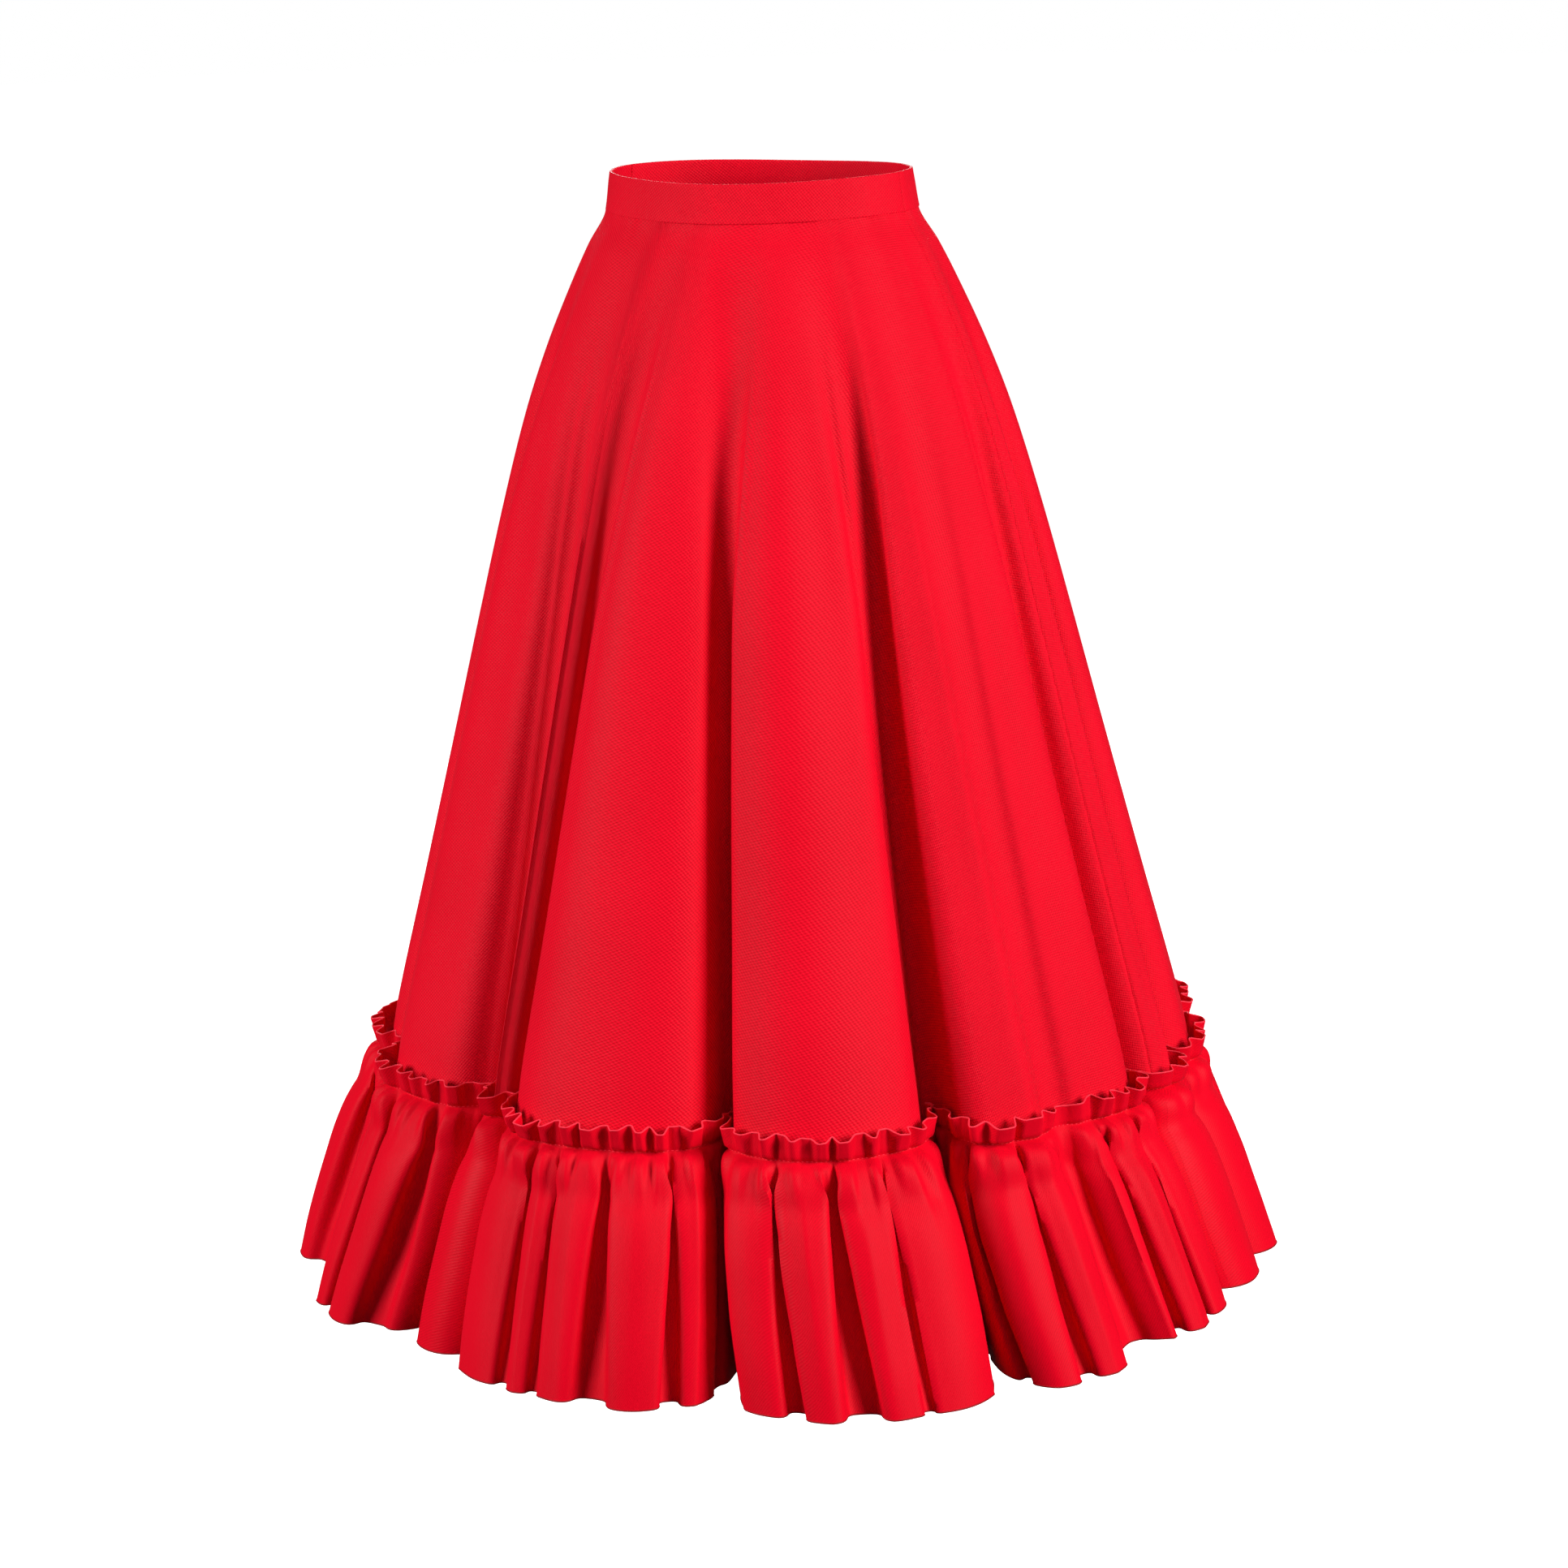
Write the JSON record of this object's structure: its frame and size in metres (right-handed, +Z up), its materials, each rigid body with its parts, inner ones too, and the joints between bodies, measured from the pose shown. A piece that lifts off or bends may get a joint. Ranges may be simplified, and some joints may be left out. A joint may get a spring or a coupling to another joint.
{
  "type": "folk dance skirt",
  "caption": "Long flared folk dance skirt with a plain waistband, soft cone folds and a gathered ruffle with a standing header, filled out with no wearer.",
  "frame": {"origin": "middle of the waistband, half way up it, on the axis of the skirt's hollow", "axes": "+Z up, out of the waist; the front faces -Y; +X is the wearer's left"},
  "size_m": [0.8259, 0.7478, 0.905],
  "materials": {
    "twill": "bright red ribbed twill with a soft sheen",
    "crepe": "bright red crepe, finely grained"
  },
  "bodies": {
    "root": {"waistband_front": "twill", "waistband_back": "twill", "skirt_front": "twill", "skirt_back": "twill", "ruffle_front": "crepe", "ruffle_back": "crepe"}
  },
  "joints": []
}
